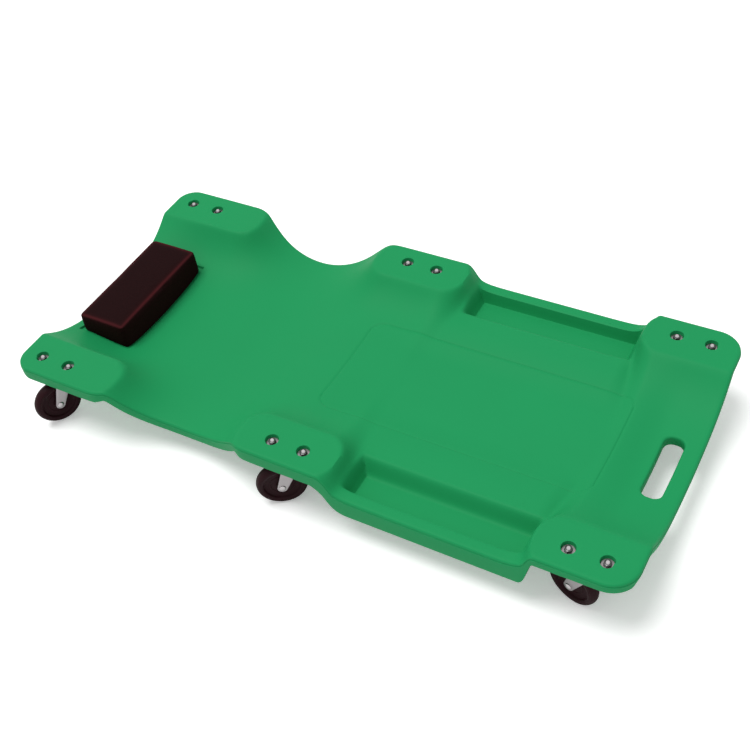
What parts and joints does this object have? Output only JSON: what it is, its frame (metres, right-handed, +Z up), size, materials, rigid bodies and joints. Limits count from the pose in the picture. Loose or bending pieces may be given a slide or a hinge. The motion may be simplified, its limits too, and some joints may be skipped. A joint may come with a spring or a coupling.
{
  "type": "mechanics creeper",
  "caption": "Low rolling board to lie on under a vehicle: moulded deck with headrest, side tool trays and carrying slot, on swivel casters.",
  "frame": {"origin": "on the floor, under the middle of the deck", "axes": "+X from the head end to the foot end, +Z up, -Y the lying person's right-hand side"},
  "size_m": [1.008, 0.52, 0.115],
  "materials": {
    "deck": "green blow-moulded plastic with a fine moulded grain",
    "cushion": "dark maroon-black vinyl cover",
    "board": "raw hardboard",
    "wheel": "hard dark plastic, satin",
    "caster_steel": "bright zinc-plated stamped steel",
    "hardware": "bright zinc-plated fasteners"
  },
  "bodies": {
    "root": {"deck": "deck", "headrest_cushion": "cushion", "headrest_board": "board", "headrest_screw_right": "hardware", "headrest_screw_left": "hardware", "caster_plate_head_right": "caster_steel", "caster_plate_head_left": "caster_steel", "caster_plate_mid_right": "caster_steel", "caster_plate_mid_left": "caster_steel", "caster_plate_foot_right": "caster_steel", "caster_plate_foot_left": "caster_steel", "kingpin_head_right": "hardware", "kingpin_head_left": "hardware", "kingpin_mid_right": "hardware", "kingpin_mid_left": "hardware", "kingpin_foot_right": "hardware", "kingpin_foot_left": "hardware", "bolt_head_right_a": "hardware", "bolt_head_right_b": "hardware", "bolt_head_left_a": "hardware", "bolt_head_left_b": "hardware", "bolt_mid_right_a": "hardware", "bolt_mid_right_b": "hardware", "bolt_mid_left_a": "hardware", "bolt_mid_left_b": "hardware", "bolt_foot_right_a": "hardware", "bolt_foot_right_b": "hardware", "bolt_foot_left_a": "hardware", "bolt_foot_left_b": "hardware", "flange_nut_head_right_a": "hardware", "flange_nut_head_right_b": "hardware", "flange_nut_head_left_a": "hardware", "flange_nut_head_left_b": "hardware", "flange_nut_mid_right_a": "hardware", "flange_nut_mid_right_b": "hardware", "flange_nut_mid_left_a": "hardware", "flange_nut_mid_left_b": "hardware", "flange_nut_foot_right_a": "hardware", "flange_nut_foot_right_b": "hardware", "flange_nut_foot_left_a": "hardware", "flange_nut_foot_left_b": "hardware"},
    "swivel_head_right": {"fork_head_right": "caster_steel", "axle_head_right": "hardware"},
    "roller_head_right": {"wheel_head_right": "wheel"},
    "swivel_head_left": {"fork_head_left": "caster_steel", "axle_head_left": "hardware"},
    "roller_head_left": {"wheel_head_left": "wheel"},
    "swivel_mid_right": {"fork_mid_right": "caster_steel", "axle_mid_right": "hardware"},
    "roller_mid_right": {"wheel_mid_right": "wheel"},
    "swivel_mid_left": {"fork_mid_left": "caster_steel", "axle_mid_left": "hardware"},
    "roller_mid_left": {"wheel_mid_left": "wheel"},
    "swivel_foot_right": {"fork_foot_right": "caster_steel", "axle_foot_right": "hardware"},
    "roller_foot_right": {"wheel_foot_right": "wheel"},
    "swivel_foot_left": {"fork_foot_left": "caster_steel", "axle_foot_left": "hardware"},
    "roller_foot_left": {"wheel_foot_left": "wheel"}
  },
  "joints": [
    {"name": "swivel_head_right", "type": "hinge", "parent": "root", "child": "swivel_head_right", "pos_m": [-0.4414, -0.207, 0.09], "axis": [0, 0, 1], "continuous": true},
    {"name": "roll_head_right", "type": "hinge", "parent": "swivel_head_right", "child": "roller_head_right", "pos_m": [-0.45093, -0.22492, 0.0381], "axis": [0.8829, -0.4695, 0], "continuous": true},
    {"name": "swivel_head_left", "type": "hinge", "parent": "root", "child": "swivel_head_left", "pos_m": [-0.4414, 0.207, 0.09], "axis": [0, 0, 1], "continuous": true},
    {"name": "roll_head_left", "type": "hinge", "parent": "swivel_head_left", "child": "roller_head_left", "pos_m": [-0.45093, 0.22492, 0.0381], "axis": [-0.8829, -0.4695, 0], "continuous": true},
    {"name": "swivel_mid_right", "type": "hinge", "parent": "root", "child": "swivel_mid_right", "pos_m": [-0.0111, -0.207, 0.09], "axis": [0, 0, 1], "continuous": true},
    {"name": "roll_mid_right", "type": "hinge", "parent": "swivel_mid_right", "child": "roller_mid_right", "pos_m": [-0.02752, -0.21893, 0.0381], "axis": [0.5878, -0.809, 0], "continuous": true},
    {"name": "swivel_mid_left", "type": "hinge", "parent": "root", "child": "swivel_mid_left", "pos_m": [-0.0111, 0.207, 0.09], "axis": [0, 0, 1], "continuous": true},
    {"name": "roll_mid_left", "type": "hinge", "parent": "swivel_mid_left", "child": "roller_mid_left", "pos_m": [-0.02752, 0.21893, 0.0381], "axis": [-0.5878, -0.809, 0], "continuous": true},
    {"name": "swivel_foot_right", "type": "hinge", "parent": "root", "child": "swivel_foot_right", "pos_m": [0.4354, -0.207, 0.09], "axis": [0, 0, 1], "continuous": true},
    {"name": "roll_foot_right", "type": "hinge", "parent": "swivel_foot_right", "child": "roller_foot_right", "pos_m": [0.41599, -0.20106, 0.0381], "axis": [-0.2924, -0.9563, 0], "continuous": true},
    {"name": "swivel_foot_left", "type": "hinge", "parent": "root", "child": "swivel_foot_left", "pos_m": [0.4354, 0.207, 0.09], "axis": [0, 0, 1], "continuous": true},
    {"name": "roll_foot_left", "type": "hinge", "parent": "swivel_foot_left", "child": "roller_foot_left", "pos_m": [0.41599, 0.20106, 0.0381], "axis": [0.2924, -0.9563, 0], "continuous": true}
  ]
}
